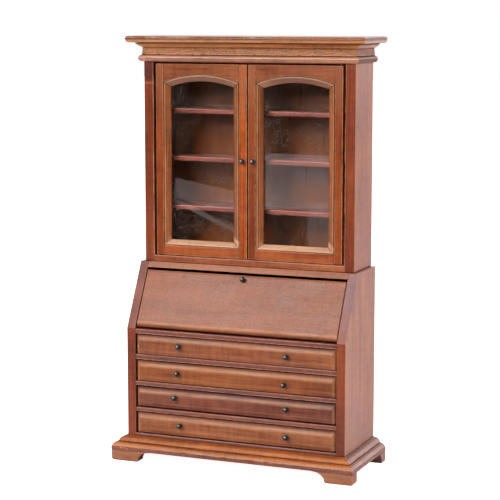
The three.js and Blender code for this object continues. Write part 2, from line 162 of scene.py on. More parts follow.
def add_floor():
    """A white table that ends 0.3 m in front of the object's middle."""
    corners = [(side * TABLE_HALF_WIDTH, y, 0)
               for side, y in ((-1, TABLE_FRONT), (1, TABLE_FRONT), (1, TABLE_BACK), (-1, TABLE_BACK))]
    material, graph = new_material("floor_white")
    speck = graph.add("ShaderNodeTexNoise", {"Scale": 30.0, "Detail": 2.0})
    tint = graph.mix_colour(speck.outputs["Fac"], (0.88, 0.88, 0.88, 1), (0.92, 0.92, 0.92, 1))
    seen = graph.add("ShaderNodeLightPath").outputs["Is Camera Ray"]
    graph.surface({"Base Color": tint, "Roughness": 0.9, "Specular IOR Level": 0.1,
                   "Emission Color": (1, 1, 1, 1), "Emission Strength": graph.times(seen, 0.93)})
    mesh_object("floor", corners, [(0, 1, 2, 3)], [material])


# ---- materials ----

class Graph:
    """Short calls for building a node tree from its first node to its output."""

    def __init__(self, tree):
        self.tree = tree
        tree.nodes.clear()

    def add(self, kind, inputs=None, **settings):
        node = self.tree.nodes.new(kind)
        for name, value in settings.items():
            setattr(node, name, value)
        for key, value in (inputs or {}).items():
            if isinstance(value, bpy.types.NodeSocket):
                self.tree.links.new(value, node.inputs[key])
            else:
                node.inputs[key].default_value = value
        return node

    def vector(self, operation, a, b=(0, 0, 0)):
        return self.add("ShaderNodeVectorMath", {0: a, 1: b}, operation=operation).outputs["Vector"]

    def measure(self, operation, a, b):
        """A number worked out from two vectors."""
        return self.add("ShaderNodeVectorMath", {0: a, 1: b}, operation=operation).outputs["Value"]

    def scaled(self, vector, amount):
        return self.add("ShaderNodeVectorMath", {0: vector, "Scale": amount}, operation="SCALE").outputs[0]

    def maths(self, operation, a, b=0.0, clamp=False):
        return self.add("ShaderNodeMath", {0: a, 1: b}, operation=operation, use_clamp=clamp).outputs[0]

    def times(self, a, b):
        return self.maths("MULTIPLY", a, b)

    def axes(self, vector):
        return self.add("ShaderNodeSeparateXYZ", {0: vector}).outputs

    def place(self):
        """Where a point lies on its piece at rest, in metres."""
        return self.add("ShaderNodeTexCoord").outputs["Object"]

    def remap(self, value, low, high, to_low=0.0, to_high=1.0):
        return self.add("ShaderNodeMapRange", {
            "Value": value, "From Min": low, "From Max": high,
            "To Min": to_low, "To Max": to_high}).outputs[0]

    def noise(self, place, stretch, detail=2.0, roughness=0.5, distortion=0.0):
        """Noise whose grains are 1/stretch long, where stretch is one number or one for each axis."""
        each = stretch if isinstance(stretch, tuple) else (stretch,) * 3
        return self.add("ShaderNodeTexNoise", {
            "Vector": self.vector("MULTIPLY", place, each), "Scale": 1.0, "Detail": detail,
            "Roughness": roughness, "Distortion": distortion}).outputs["Fac"]

    def mix_colour(self, factor, a, b):
        return self.add("ShaderNodeMix", {0: factor, 6: a, 7: b}, data_type="RGBA").outputs[2]

    def surface(self, inputs):
        shader = self.add("ShaderNodeBsdfPrincipled", inputs)
        self.add("ShaderNodeOutputMaterial", {"Surface": shader.outputs[0]})


def new_material(name):
    material = bpy.data.materials.new(name)
    material.use_nodes = True
    return material, Graph(material.node_tree)


def srgb(red, green, blue):
    """A colour given as 0-255 screen values, as the linear colour that shaders use."""
    linear = [(c / 255) ** 2.2 for c in (red, green, blue)]
    return (*linear, 1)


def wood_group():
    """The grain shared by every wooden piece. Its input runs in millimetres, with x along the grain."""
    tree = bpy.data.node_groups.new("wood_grain", "ShaderNodeTree")
    for name, kind in (("Grain", "Vector"), ("Dark", "Color"), ("Light", "Color"), ("Pores", "Float"),
                       ("Mauve", "Float")):
        tree.interface.new_socket(name, in_out="INPUT", socket_type="NodeSocket" + kind)
    for name, kind in (("Color", "Color"), ("Roughness", "Float"), ("Height", "Float")):
        tree.interface.new_socket(name, in_out="OUTPUT", socket_type="NodeSocket" + kind)
    graph = Graph(tree)
    given = graph.add("NodeGroupInput").outputs
    grain = given["Grain"]
    bands = graph.noise(grain, (0.018, 0.2, 0.2), detail=3.0, distortion=0.5)
    streaks = graph.noise(grain, (0.06, 1.3, 1.3), detail=4.0, roughness=0.65)
    fibres = graph.noise(grain, (0.35, 6.0, 6.0), detail=3.0, roughness=0.6)
    blotches = graph.noise(grain, (0.05, 0.09, 0.09))
    flame = graph.noise(grain, (0.6, 0.12, 0.12))
    tone = graph.times(bands, 0.4)
    tone = graph.maths("ADD", tone, graph.times(streaks, 0.4))
    tone = graph.maths("ADD", tone, graph.times(flame, 0.2))
    colour = graph.mix_colour(graph.remap(tone, 0.38, 0.62), given["Dark"], given["Light"])
    shade = graph.remap(blotches, 0.3, 0.7, 0.86, 1.14)
    shade = graph.times(shade, graph.remap(fibres, 0.3, 0.7, 0.88, 1.12))
    pores = graph.times(graph.remap(fibres, 0.6, 0.72), given["Pores"])
    shade = graph.times(shade, graph.maths("SUBTRACT", 1.0, pores))
    colour = graph.scaled(colour, shade)
    drift = graph.noise(grain, (0.045, 0.11, 0.11))
    drift = graph.times(graph.remap(drift, 0.42, 0.62), given["Mauve"])
    colour = graph.mix_colour(drift, colour, graph.vector("MULTIPLY", colour, MAUVE_SHIFT))
    rough = graph.remap(graph.maths("ADD", streaks, blotches), 0.7, 1.3, 0.26, 0.42)
    height = graph.maths("SUBTRACT", graph.times(streaks, 0.6), pores)
    graph.add("NodeGroupOutput", {"Color": colour, "Roughness": rough, "Height": height})
    return tree


WOODS = {name: (srgb(*dark), srgb(*light)) for name, dark, light in (
    # the dark and light tones of each wood's grain
    ("case", (108, 40, 18), (156, 73, 34)),
    ("side", (130, 68, 46), (156, 92, 65)),
    ("side_low", (140, 84, 64), (168, 112, 88)),
    # the sill is paler than the moulding, partly as painted light on its upward-facing slopes
    ("sill", (190, 132, 96), (236, 182, 144)),
    ("shelf", (112, 48, 34), (152, 80, 60)),
    ("cornice", (122, 58, 24), (184, 110, 54)),
    ("cornice_side", (92, 52, 40), (138, 88, 68)),
    ("crown", (160, 78, 36), (234, 144, 80)),
    ("crown_side", (150, 104, 88), (206, 158, 138)),
    ("bead", (146, 88, 64), (204, 140, 106)),
    ("bead_side", (80, 50, 40), (120, 84, 68)),
    ("base", (130, 58, 20), (204, 108, 46)),
    ("base_side", (98, 52, 44), (154, 94, 82)),
    ("fascia", (118, 56, 34), (172, 98, 64)),
    ("fascia_side", (96, 50, 42), (148, 88, 76)),
    ("foot", (116, 50, 22), (168, 90, 48)),
    ("door", (120, 44, 10), (172, 82, 30)),
    ("door_meeting", (146, 54, 10), (204, 98, 28)),
    ("door_foot", (136, 56, 18), (186, 96, 44)),
    ("door_rail", (130, 64, 34), (172, 98, 58)),
    ("moulding", (122, 60, 30), (178, 100, 54)),
    # the arch is darker than the moulding, partly as painted shade on its downward-facing curve
    ("arch", (112, 62, 40), (158, 100, 68)),
    ("lid", (142, 78, 52), (172, 104, 74)),
    ("drawer_1", (116, 54, 32), (168, 98, 62)),
    ("drawer_2", (120, 56, 26), (168, 96, 52)),
    ("drawer_3", (92, 38, 30), (142, 78, 58)),
    ("drawer_4", (122, 62, 36), (176, 108, 70)),
    ("rail", (104, 46, 32), (148, 80, 56)),
    ("waist", (140, 64, 32), (192, 110, 66)),
    ("desk_top", (146, 86, 58), (188, 122, 88)),
    # the back's tone is dark, partly as painted shade for the shaded inside of the case
    ("back", (98, 46, 2), (122, 64, 6)),
    ("tray", (150, 112, 76), (186, 148, 106)),
)}
MAUVE_SHIFT = (0.78, 0.76, 1.35)
# the pale colours that rubbed arrises, and in places painted highlights, turn towards
PALE_EDGE = srgb(230, 172, 128)
PINK_EDGE = srgb(222, 160, 142)
ORANGE_EDGE = srgb(228, 152, 94)
# the grey that worn arrises take on side faces, partly painted sheen
GREY_EDGE_AND_SHEEN = srgb(206, 172, 158)
DARK_POLISH_AND_SHADE = srgb(26, 12, 8)
WORN = 0.95                     # how pale a worn arris is
SLANT = math.radians(27.5)      # lean of the desk's slope
SLOPE_OUT = (0, -math.cos(SLANT), math.sin(SLANT))
KNOB_BLACK = (0.002, 0.0015, 0.002, 1)
KNOB_GRIME = (0.007, 0.005, 0.004, 1)
BRASS = (0.42, 0.31, 0.17, 1)
TARNISH = (0.16, 0.1, 0.06, 1)
GRAIN_ORDER = {"X": (0, 1, 2), "Y": (1, 0, 2), "Z": (2, 0, 1)}


def wood(tone, along, seed=0, arris=None, marks=(), stripes=(), pores=0.35, bump=0.25, front=None,
         mauve=0.0, matte=0.0, speckle=0.0, grime=0.85, edge=PALE_EDGE):
    """A stained and lacquered wood with its grain along one axis. Marks are small spots: (place in
    metres, radius in mm, colour). Stripes are soft bands of another colour: (axis, place in metres, half
    width in mm, colour, amount), where the axis -Y keeps to the faces that look forward and +Y to the
    others. Front is another tone, for the faces that look forward. Arris is the axis, with or without its
    sign, that a board's pale rounded edges turn towards."""
    # grime sets how dark creases get, with polish and with painted shade from ambient occlusion
    material, graph = new_material(f"wood_{tone}_{along}_{seed}")
    coordinates = graph.add("ShaderNodeTexCoord").outputs
    place = coordinates["Object"]
    axes = graph.axes(place)
    order = GRAIN_ORDER[along]
    turned = graph.add("ShaderNodeCombineXYZ", {i: axes[order[i]] for i in range(3)}).outputs[0]
    grain = graph.vector("ADD", graph.scaled(turned, 1 / MM), (seed * 37.3, seed * 11.7, seed * 5.9))
    dark, light = WOODS[tone]
    if front:
        facing = graph.axes(coordinates["Normal"])["Y"]
        forward = graph.remap(facing, -0.15, -0.45)
        dark, light = (graph.mix_colour(forward, *pair) for pair in zip(WOODS[tone], WOODS[front]))
        if edge != PALE_EDGE:       # a colour of its own is for the faces that look forward
            edge = graph.mix_colour(forward, GREY_EDGE_AND_SHEEN, edge)
    group = graph.add("ShaderNodeGroup", {
        "Grain": grain, "Dark": dark, "Light": light, "Pores": pores, "Mauve": mauve}, node_tree=wood_tree)
    colour = group.outputs["Color"]
    for axis, centre, width, tint, amount in stripes:
        away = graph.maths("ABSOLUTE", graph.maths("SUBTRACT", axes[axis[-1]], centre))
        share = graph.remap(away, width * MM, 0.75 * width * MM, 0.0, amount)
        if axis == "+Y":
            share = graph.times(share, graph.maths("SUBTRACT", 1.0, forward))
        elif axis == "-Y":
            share = graph.times(share, forward)
        colour = graph.mix_colour(share, colour, graph.mix_colour(0.25, tint, colour))
    if speckle:
        grit = graph.noise(place, 1900)
        colour = graph.mix_colour(graph.remap(grit, 0.46, 0.34, 0.0, speckle), colour, DARK_POLISH_AND_SHADE)
        colour = graph.mix_colour(graph.remap(grit, 0.56, 0.66, 0.0, speckle), colour, edge)
    if arris:
        rubbed = rounded_edge(graph, coordinates["Normal"], arris)
        patchy = graph.noise(place, 500)
        rubbed = graph.times(rubbed, graph.remap(patchy, 0.38, 0.58, 0.35 * WORN, WORN))
        colour = graph.mix_colour(rubbed, colour, edge)
    colour, polish_and_shade = worn_grimy_and_shaded(graph, grain, colour, grime, edge)
    for spot, radius, tint in marks:
        colour = add_mark(graph, place, colour, spot, radius, tint)
    normal = graph.add("ShaderNodeBump", {
        "Strength": bump, "Distance": 0.00012, "Height": group.outputs["Height"]}).outputs[0]
    rough = graph.maths("ADD", group.outputs["Roughness"], matte)
    rough = graph.maths("ADD", rough, graph.times(polish_and_shade, 0.4), clamp=True)
    graph.surface({"Base Color": colour, "Roughness": rough, "Normal": normal,
                   "Specular IOR Level": 0.5 - matte, "Coat Weight": 0.0 if matte else 0.2,
                   "Coat Roughness": 0.15})
    return material


def rounded_edge(graph, normal, arris):
    """1 where a board's surface is rounded over towards an axis, and 0 on its flat faces and slopes."""
    slope = graph.measure("DOT_PRODUCT", normal, SLOPE_OUT)
    level = graph.axes(graph.vector("ABSOLUTE", normal))
    straight = graph.maths("MAXIMUM", graph.maths("MAXIMUM", level["X"], level["Y"]),
                           graph.maths("MAXIMUM", level["Z"], slope))
    towards = level[arris[-1]]
    if len(arris) == 2:
        towards = graph.axes(normal)[arris[-1]]
        towards = graph.times(towards, float(arris[0] + "1"))
    return graph.times(graph.remap(straight, 0.985, 0.9), graph.remap(towards, 0.12, 0.35))


def worn_grimy_and_shaded(graph, grain, colour, grime, edge):
    """Darkens towards dark polish where surfaces meet, which is painted shade from ambient occlusion as well as
    polish, and in the hollows that the mesh's wear values mark, some of which are painted shade.
    Lightens the arrises that they mark, rubbed pale or painted as highlights. Gives the colour, and how much
    polish and painted shade it holds."""
    wear_and_painted_light = graph.add("ShaderNodeAttribute", attribute_name="wear_and_painted_light").outputs["Fac"]
    polish_and_shade = graph.times(graph.maths("MAXIMUM", graph.times(wear_and_painted_light, -1.0), 0.0), 0.9)
    # painted shade: ambient occlusion darkens points within 0.9 mm of another surface, as strongly as grime says
    near = graph.add("ShaderNodeAmbientOcclusion", {"Distance": 0.0009}, samples=6).outputs["AO"]
    polish_and_shade = graph.maths("MAXIMUM", polish_and_shade, graph.remap(near, 0.75, 0.3, 0.0, grime))
    colour = graph.mix_colour(polish_and_shade, colour, DARK_POLISH_AND_SHADE)
    patchy = graph.noise(grain, (0.12, 0.8, 0.8), detail=3.0)
    rubbed = graph.times(graph.maths("MAXIMUM", wear_and_painted_light, 0.0), graph.remap(patchy, 0.35, 0.6, 0.5, 1.0))
    return graph.mix_colour(rubbed, colour, edge), polish_and_shade


def add_mark(graph, place, colour, spot, radius, tint):
    """A ragged spot of another colour round a place on the surface."""
    wobble = graph.noise(place, 2500)
    distance = graph.measure("DISTANCE", place, spot)
    ragged = 0.4 * radius * MM
    reach = graph.maths("ADD", distance, graph.remap(wobble, 0.3, 0.7, -ragged, ragged))
    inside = graph.remap(reach, radius * MM, 0.6 * radius * MM)
    return graph.mix_colour(inside, colour, tint)


def glass_material():
    """Thin clear glazing with faint smears and specks of dust."""
    material, graph = new_material("door_glazing")
    place = graph.place()
    smear = graph.noise(place, (90, 90, 45), detail=3.0)
    pane = graph.add("ShaderNodeBsdfPrincipled", {
        "Base Color": (0.97, 0.98, 0.97, 1), "Roughness": graph.remap(smear, 0.4, 0.8, 0.0, 0.05),
        "IOR": 1.46, "Transmission Weight": 1.0})
    dust = graph.add("ShaderNodeBsdfPrincipled", {"Base Color": srgb(168, 160, 152), "Roughness": 0.9})
    grit = graph.noise(place, 2000, detail=1.0)
    patches = graph.noise(place, 60)
    share = graph.times(graph.remap(grit, 0.62, 0.72, 0.0, 0.34), graph.remap(patches, 0.42, 0.55))
    mixed = graph.add("ShaderNodeMixShader", {0: share, 1: pane.outputs[0], 2: dust.outputs[0]})
    graph.add("ShaderNodeOutputMaterial", {"Surface": mixed.outputs[0]})
    return material


def knob_material():
    material, graph = new_material("knob_black")
    grime = graph.noise(graph.place(), 1800, detail=3.0)
    colour = graph.mix_colour(graph.remap(grime, 0.45, 0.7), KNOB_BLACK, KNOB_GRIME)
    graph.surface({"Base Color": colour, "Roughness": graph.remap(grime, 0.3, 0.8, 0.42, 0.55),
                   "Specular IOR Level": 0.35})
    return material


def wire_material():
    material, graph = new_material("hinge_wire")
    tarnish = graph.noise(graph.place(), 900, detail=3.0)
    colour = graph.mix_colour(graph.remap(tarnish, 0.4, 0.7), BRASS, TARNISH)
    rough = graph.remap(tarnish, 0.3, 0.7, 0.28, 0.5)
    graph.surface({"Base Color": colour, "Metallic": 1.0, "Roughness": rough})
    return material


# ---- mesh helpers ----

def new_piece(name, points, faces, materials, replaces, smooth_angle=32, wear_and_painted_light=None, face_materials=None):
    """A mesh piece at rest that rides with the CAD node it stands for and keeps inside its box.
    Wear gives each point a value from -1 to 1: below 0 a hollow full of polish, in places painted shade; above 0
    an arris rubbed pale, in places a painted highlight."""
    low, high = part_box(replaces[0])
    inside = [[min(max(c, least), most) for c, least, most in zip(point, low, high)] for point in points]
    piece = mesh_object(name, inside, faces, materials)
    mesh = piece.data
    if wear_and_painted_light:
        mesh.attributes.new("wear_and_painted_light", "FLOAT", "POINT").data.foreach_set("value", wear_and_painted_light)
    if face_materials:
        mesh.polygons.foreach_set("material_index", face_materials)
    shell = bmesh.new()
    shell.from_mesh(mesh)
    bmesh.ops.recalc_face_normals(shell, faces=shell.faces)
    shell.to_mesh(mesh)
    shell.free()
    mesh.shade_smooth()
    mesh.set_sharp_from_angle(angle=math.radians(smooth_angle))
    mesh.update()
    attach(piece, BODY_OF[replaces[0]])
    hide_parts(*replaces)
    return piece


def loft(rings, closed=False, flip=False):
    """Points and faces of a skin over equal rings. An open row of rings gets end caps."""
    count = len(rings[0])
    points = [p for ring in rings for p in ring]
    faces = []
    spans = len(rings) if closed else len(rings) - 1
    for r in range(spans):
        here, there = r * count, (r + 1) % len(rings) * count
        for i in range(count):
            j = (i + 1) % count
            faces.append((here + i, here + j, there + j, there + i))
    if not closed:
        faces.append(tuple(reversed(range(count))))
        faces.append(tuple(range((len(rings) - 1) * count, len(rings) * count)))
    if flip:
        faces = [tuple(reversed(face)) for face in faces]
    return points, faces


def arc(centre_u, centre_v, radius_u, radius_v, start, end, steps):
    """Points of an ellipse's arc, from start to end in degrees."""
    angles = [math.radians(start + (end - start) * i / steps) for i in range(steps + 1)]
    return [(centre_u + radius_u * math.cos(a), centre_v + radius_v * math.sin(a)) for a in angles]


def wobble(x, y, z, size, reach=0.12, seed=0.0):
    """A smooth random offset in mm of about the given size, for places given in metres."""
    spot = Vector((x, y, z)) / MM * reach + Vector((seed, seed * 1.7, seed * 0.3))
    return size * noise.noise(spot)


def round_piece(name, profile, steps, place, axis, material, replaces):
    """A turned piece: profile points are (radius, distance from the seat) in mm, seat first."""
    outward = Vector(axis).normalized()
    side = outward.orthogonal().normalized()
    other = outward.cross(side)
    turns = [2 * math.pi * i / steps for i in range(steps)]
    spokes = [side * math.cos(angle) + other * math.sin(angle) for angle in turns]
    points, faces = loft([[Vector(place) + (outward * height + spoke * radius) * MM for spoke in spokes]
                          for radius, height in profile])
    return new_piece(name, points, faces, [material], [replaces], smooth_angle=50)


# ---- boards that keep their CAD solid ----

def dress_board(node, tone, along, seed, width, settings):
    """Rounds a CAD board's edges by a width in mm and gives it its grain."""
    board = NODES[node]
    mesh = board.data
    mesh.materials.clear()
    mesh.materials.append(wood(tone, along, seed, **settings))
    weld = board.modifiers.new("weld", "WELD")
    weld.merge_threshold = 0.00001
    flat = board.modifiers.new("flat", "DECIMATE")
    flat.decimate_type = "DISSOLVE"
    flat.angle_limit = math.radians(1)
    bevel = board.modifiers.new("arris", "BEVEL")
    bevel.width = width * MM
    bevel.segments = 3
    bevel.use_clamp_overlap = "hinge_stile" not in node
    bevel.limit_method = "ANGLE"
    bevel.angle_limit = math.radians(20 if node.startswith("lower_side") else 35)
    board.modifiers.new("flat_faces", "WEIGHTED_NORMAL").weight = 100
    mesh.shade_smooth()


SIDE = {"front": "case", "mauve": 0.5}
RAIL = {"mauve": 0.5, "arris": "Z", "edge": PINK_EDGE, "grime": 0.6}
SHELF = {"mauve": 0.5, "arris": "+Z", "edge": PINK_EDGE}
DOOR_TOP = tuple(("Z", 0.169, reach, srgb(168, 106, 74), 0.25) for reach in (24, 18, 11))
DOOR_POST = {"arris": "X", "stripes": DOOR_TOP, "grime": 0.55}
DOOR_RAIL = {"arris": "Z", "grime": 0.55}
# a dark band at the top of the left stile, with a thin pale line just below it
DARK_TOP_BAND = (("Z", 0.1688, 5.2, srgb(62, 30, 34), 0.75), ("Z", 0.1629, 0.45, srgb(190, 130, 110), 0.5))
# a tan band on the lower right side near its front edge; the bluish-grey band behind it and the lilac band on the
# slope's edge are painted sheen
SIDE_BANDS_AND_SHEEN = (("+Y", -0.0127, 3.6, srgb(168, 106, 76), 0.45), ("+Y", -0.0076, 1.4, srgb(112, 90, 94), 0.45),
              ("-Y", -0.0062, 9.2, srgb(140, 104, 116), 0.4))
SPECK = (0.35, srgb(60, 34, 28))        # radius in mm and colour
BOARDS = {
    # node: (tone, grain axis, width of its rounded edges in mm, settings of its wood)
    "lower_side_left": ("side", "Z", 0.32, {**SIDE, "arris": "+X", "matte": 0.06}),
    "lower_side_right": ("side_low", "Z", 0.34, {
        **SIDE, "arris": "-X", "matte": 0.03, "stripes": SIDE_BANDS_AND_SHEEN,
        "marks": [((0.05, 0.0114, 0.0609), *SPECK)]}),
    "upper_side_left": ("side", "Z", 0.32, {**SIDE, "arris": "+X", "stripes": DARK_TOP_BAND}),
    "upper_side_right": ("side", "Z", 0.34, {
        **SIDE, "arris": "-X", "marks": [((0.04825, 0.0074, 0.1478), *SPECK)]}),
    "upper_bottom_board": ("waist", "X", 0.3, {"mauve": 0.2, "grime": 0.3, "arris": "Z"}),
    "upper_top_board": ("case", "X", 0.2, {"mauve": 0.5}),
    "desk_top_board": ("desk_top", "X", 0.3,
                       {"grime": 0.3, "matte": 0.14, "arris": "Z", "edge": PINK_EDGE}),
    "writing_bed": ("rail", "X", 0.26, RAIL),
    "drawer_divider_top": ("rail", "X", 0.3, RAIL),
    "drawer_divider_middle": ("rail", "X", 0.28, RAIL),
    "drawer_divider_low": ("rail", "X", 0.26, RAIL),
    "bottom_board": ("rail", "X", 0.22, RAIL),
    **{f"shelf_{level}": ("shelf", "X", 0.3, SHELF) for level in ("top", "middle", "bottom")},
    "back_panel": ("back", "Z", 0.1, {"pores": 0.1}),
    "left_door_hinge_stile": ("door", "Z", 0.32, DOOR_POST),
    "left_door_meeting_stile": ("door_meeting", "Z", 0.32, DOOR_POST),
    "left_door_bottom_rail": ("door_foot", "X", 0.3, DOOR_RAIL),
    "right_door_hinge_stile": ("door", "Z", 0.32, DOOR_POST),
    "right_door_meeting_stile": ("door", "Z", 0.32, {**DOOR_POST, "mauve": 0.5}),
    "right_door_bottom_rail": ("door_foot", "X", 0.3, DOOR_RAIL),
    **{f"{hand}_door_top_rail": ("door_rail", "X", 0.15, DOOR_RAIL) for hand in ("left", "right")},
    **{f"drawer_{number}_tray": ("tray", "X", 0.12, {}) for number in range(1, 5)},
}


def dress_boards():
    """Gives every board that keeps its CAD solid its edges and its wood."""
    for seed, (node, (tone, along, width, settings)) in enumerate(BOARDS.items(), start=1):
        dress_board(node, tone, along, seed, width, settings)


# ---- cornice and base ----

REDDER_END = (("X", 0.041, 15, srgb(158, 66, 34), 0.45),)       # a band of the slab, as wood() takes it
# pale scuffs on the base's left end: place, radius in mm, colour
SCUFFS = (
    ((-0.0508, -0.0218, 0.0058), 0.3, srgb(206, 186, 180)),
    ((-0.0494, -0.0218, 0.0057), 0.4, srgb(170, 130, 130)),
    ((-0.048, -0.0218, 0.0054), 0.25, srgb(206, 190, 184)))
BRACKET_OVERHANG = 5.5          # of the base's fascia and of its feet, in mm


def strip_rings(profile, half, front, back, side, steps, seed, ragged=0.0):
    """Rings of a moulding mitred round the front corners. Profile points are (overhang, height, rag,
    wear and painted light): rag says how much of the ragged edge a point takes, and more than 1 is a torn face."""
    rings = []
    for k in range(steps + 1):
        t = k / steps
        ring = []
        for overhang, height, rag, _ in profile:
            out = overhang * MM
            if side == 0:
                x = (half + out) * (2 * t - 1)
                y = front - out
            else:
                x = side * (half + out)
                y = (front - out) * (1 - t) + back * t
            inner = 0.0 if k in (0, steps) else 1.0
            torn = rag > 1
            bitten = max(noise.noise(Vector((x * 700, y * 700, seed))) - 0.12, 0)
            chip = 0 if torn else ragged * rag * bitten
            lift = wobble(x, y, height * 3, 0.05, 0.15, seed) * inner
            out_by = wobble(x, y, height * 5 * MM, 0.06, 0.3, seed + 9) * inner
            if torn:
                out_by += wobble(x, y, height * MM, 0.09, 1.6, seed + 5) * inner
            x += out_by * MM * side
            y -= out_by * MM * (0 if side else 1)
            ring.append((x, y, height * MM + (lift + chip) * MM))
        rings.append(ring)
    return rings


def moulding_strips(prefix, kind, woods, side_look, profile, board, seed, ragged=0.0):
    """The front, left and right strips of a mitred moulding round the case that has board as its right
    side. Woods are (tone, first profile point it covers, settings), in the profile's order, and side_look
    holds settings of the two side strips alone."""
    low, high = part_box(board)
    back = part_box(f"{prefix}_right")[1].y
    for side, name in ((0, "front"), (-1, "left"), (1, "right")):
        node = f"{prefix}_{name}"
        steps = 240 if side == 0 else 60
        rings = strip_rings(profile, high.x, low.y, back, side, steps, seed, ragged)
        points, faces = loft(rings, flip=side != 1)
        along, ending, look = ("X", "", {"edge": ORANGE_EDGE}) if side == 0 else ("Y", "_side", side_look)
        materials = [wood(tone + ending, along, seed + side, bump=0.5, **{**settings, **look})
                     for tone, _, settings in woods]
        count = len(profile)
        index = [max(k for k, (_, start, _) in enumerate(woods) if start <= i % count)
                 for i in range(count * steps)]
        wear_and_painted_light = [row[3] for row in profile] * (steps + 1)
        new_piece(f"{node}_{kind}", points, faces, materials, [node], wear_and_painted_light=wear_and_painted_light,
                  face_materials=index + [0, 0])


def rounded(points, wear_and_painted_light):
    """Smooth-edged profile points (overhang, height, rag, wear and painted light) from plain pairs."""
    return [(o, z, 0, wear_and_painted_light) for o, z in points]


def cornice_moulding():
    """Bead, frieze and crown, as one profile carried round the front and the sides."""
    base, top = (corner.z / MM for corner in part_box("cornice_front"))
    bead = [(0.05, base, 0, -0.8)]
    for start, end, steps, wear_and_painted_light in (
            (-88, -30, 5, 0.1), (-15, 5, 2, 0), (18, 50, 3, 0.5), (62, 86, 2, -0.9)):
        bead += rounded(arc(0.45, base + 1.45, 1.45, 1.42, start, end, steps), wear_and_painted_light)
    frieze = [(0.5, base + 2.9, 0.6, -1), (0.66, base + 3.05, 1, 0.6)]
    frieze += [(0.6 - 0.03 * k, base + 3.3 + 0.31 * k, 1.5, 0.1 if k else 0.3) for k in range(9)]
    # the crown's values: dark at its joint with the frieze, a painted highlight on its lower round, and painted
    # shade towards its top under the slab
    crown = [(0.42, base + 6.0, 0, -0.7), (0.5, base + 6.12, 0, -0.6), (0.78, base + 6.22, 0, -0.1)]
    crown += rounded([(1.15, base + 6.42), (1.5, base + 6.62), (1.85, base + 6.9)], wear_and_painted_light=0.3)
    crown += [(2.25, base + 7.25, 0, -0.15), (2.6, base + 7.62, 0, -0.5), (2.8, base + 7.86, 0, -0.8),
              (2.9, top - 0.02, 0, -0.9), (0.05, top, 0, -1)]
    profile = [(o, min(z, top), r, w) for o, z, r, w in bead + frieze + crown]
    woods = (("bead", 0, {"mauve": 0.4}), ("cornice", len(bead), {"speckle": 0.7, "matte": 0.06}),
             ("crown", len(bead) + len(frieze), {"speckle": 0.2}))
    moulding_strips("cornice", "moulding", woods, {"edge": GREY_EDGE_AND_SHEEN, "matte": 0.25}, profile,
                    "upper_side_right", 41, ragged=0.9)


def cornice_slab():
    """The board on top of the cornice, with its thumbnail edge."""
    low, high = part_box("cornice_top_board")
    side_low, side_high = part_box("upper_side_right")
    half, front = side_high.x, side_low.y
    base, top = low.z / MM, high.z / MM
    # overhang and height in mm, and wear and painted light: dark underneath, a painted highlight on the nose's
    # lower round, darker above it, and a painted reflection along the top rounding
    edge = [(2.9, base, -1), (3.25, base, -0.8), (3.9, base + 0.04, -0.5), (4.7, base + 0.08, -0.4),
            (5.15, base + 0.14, -0.3), (5.3, base + 0.18, 0), (5.5, base + 0.3, 0.5),
            (5.7, base + 0.5, 0.75), (5.86, base + 0.9, 0.75), (5.98, base + 1.3, 0.3),
            (6.05, base + 1.7, -0.25), (6.0, base + 2.1, -0.35), (5.8, base + 2.5, 0),
            (5.4, base + 2.76, 0.4), (4.9, top - 0.04, 0.6), (4.5, top, 0.3)]
    corners = (((-1, 0), (-1, 1), 40), ((-1, 1), (1, 1), 160), ((1, 1), (1, 0), 40), ((1, 0), (-1, 0), 6))
    rings = []
    wear_and_painted_light = []
    for overhang, z, rubbed in edge:
        out = overhang * MM
        ring = []
        for (u0, v0), (u1, v1), steps in corners:
            for k in range(steps):
                u, v = u0 + (u1 - u0) * k / steps, v0 + (v1 - v0) * k / steps
                x = u * (half + out)
                y = high.y + (front - out - high.y) * v
                shift = wobble(x, y, z, 0.12, 0.22, 3) * MM if v > 0 and k else 0
                rise = wobble(x, y, z, 0.05 if z < top - 0.1 else 0.02, 0.3, 8)
                ring.append((x + shift * 0.3 * u, y - shift * 0.5 * v, (z + rise) * MM))
                wear_and_painted_light.append(rubbed)
        rings.append(ring)
    points, faces = loft(rings, flip=True)
    slab = wood("cornice_side", "X", 47, bump=0.45, front="cornice", speckle=0.35, stripes=REDDER_END,
                edge=ORANGE_EDGE)
    new_piece("cornice_top_slab", points, faces, [slab], ["cornice_top_board"], wear_and_painted_light=wear_and_painted_light)


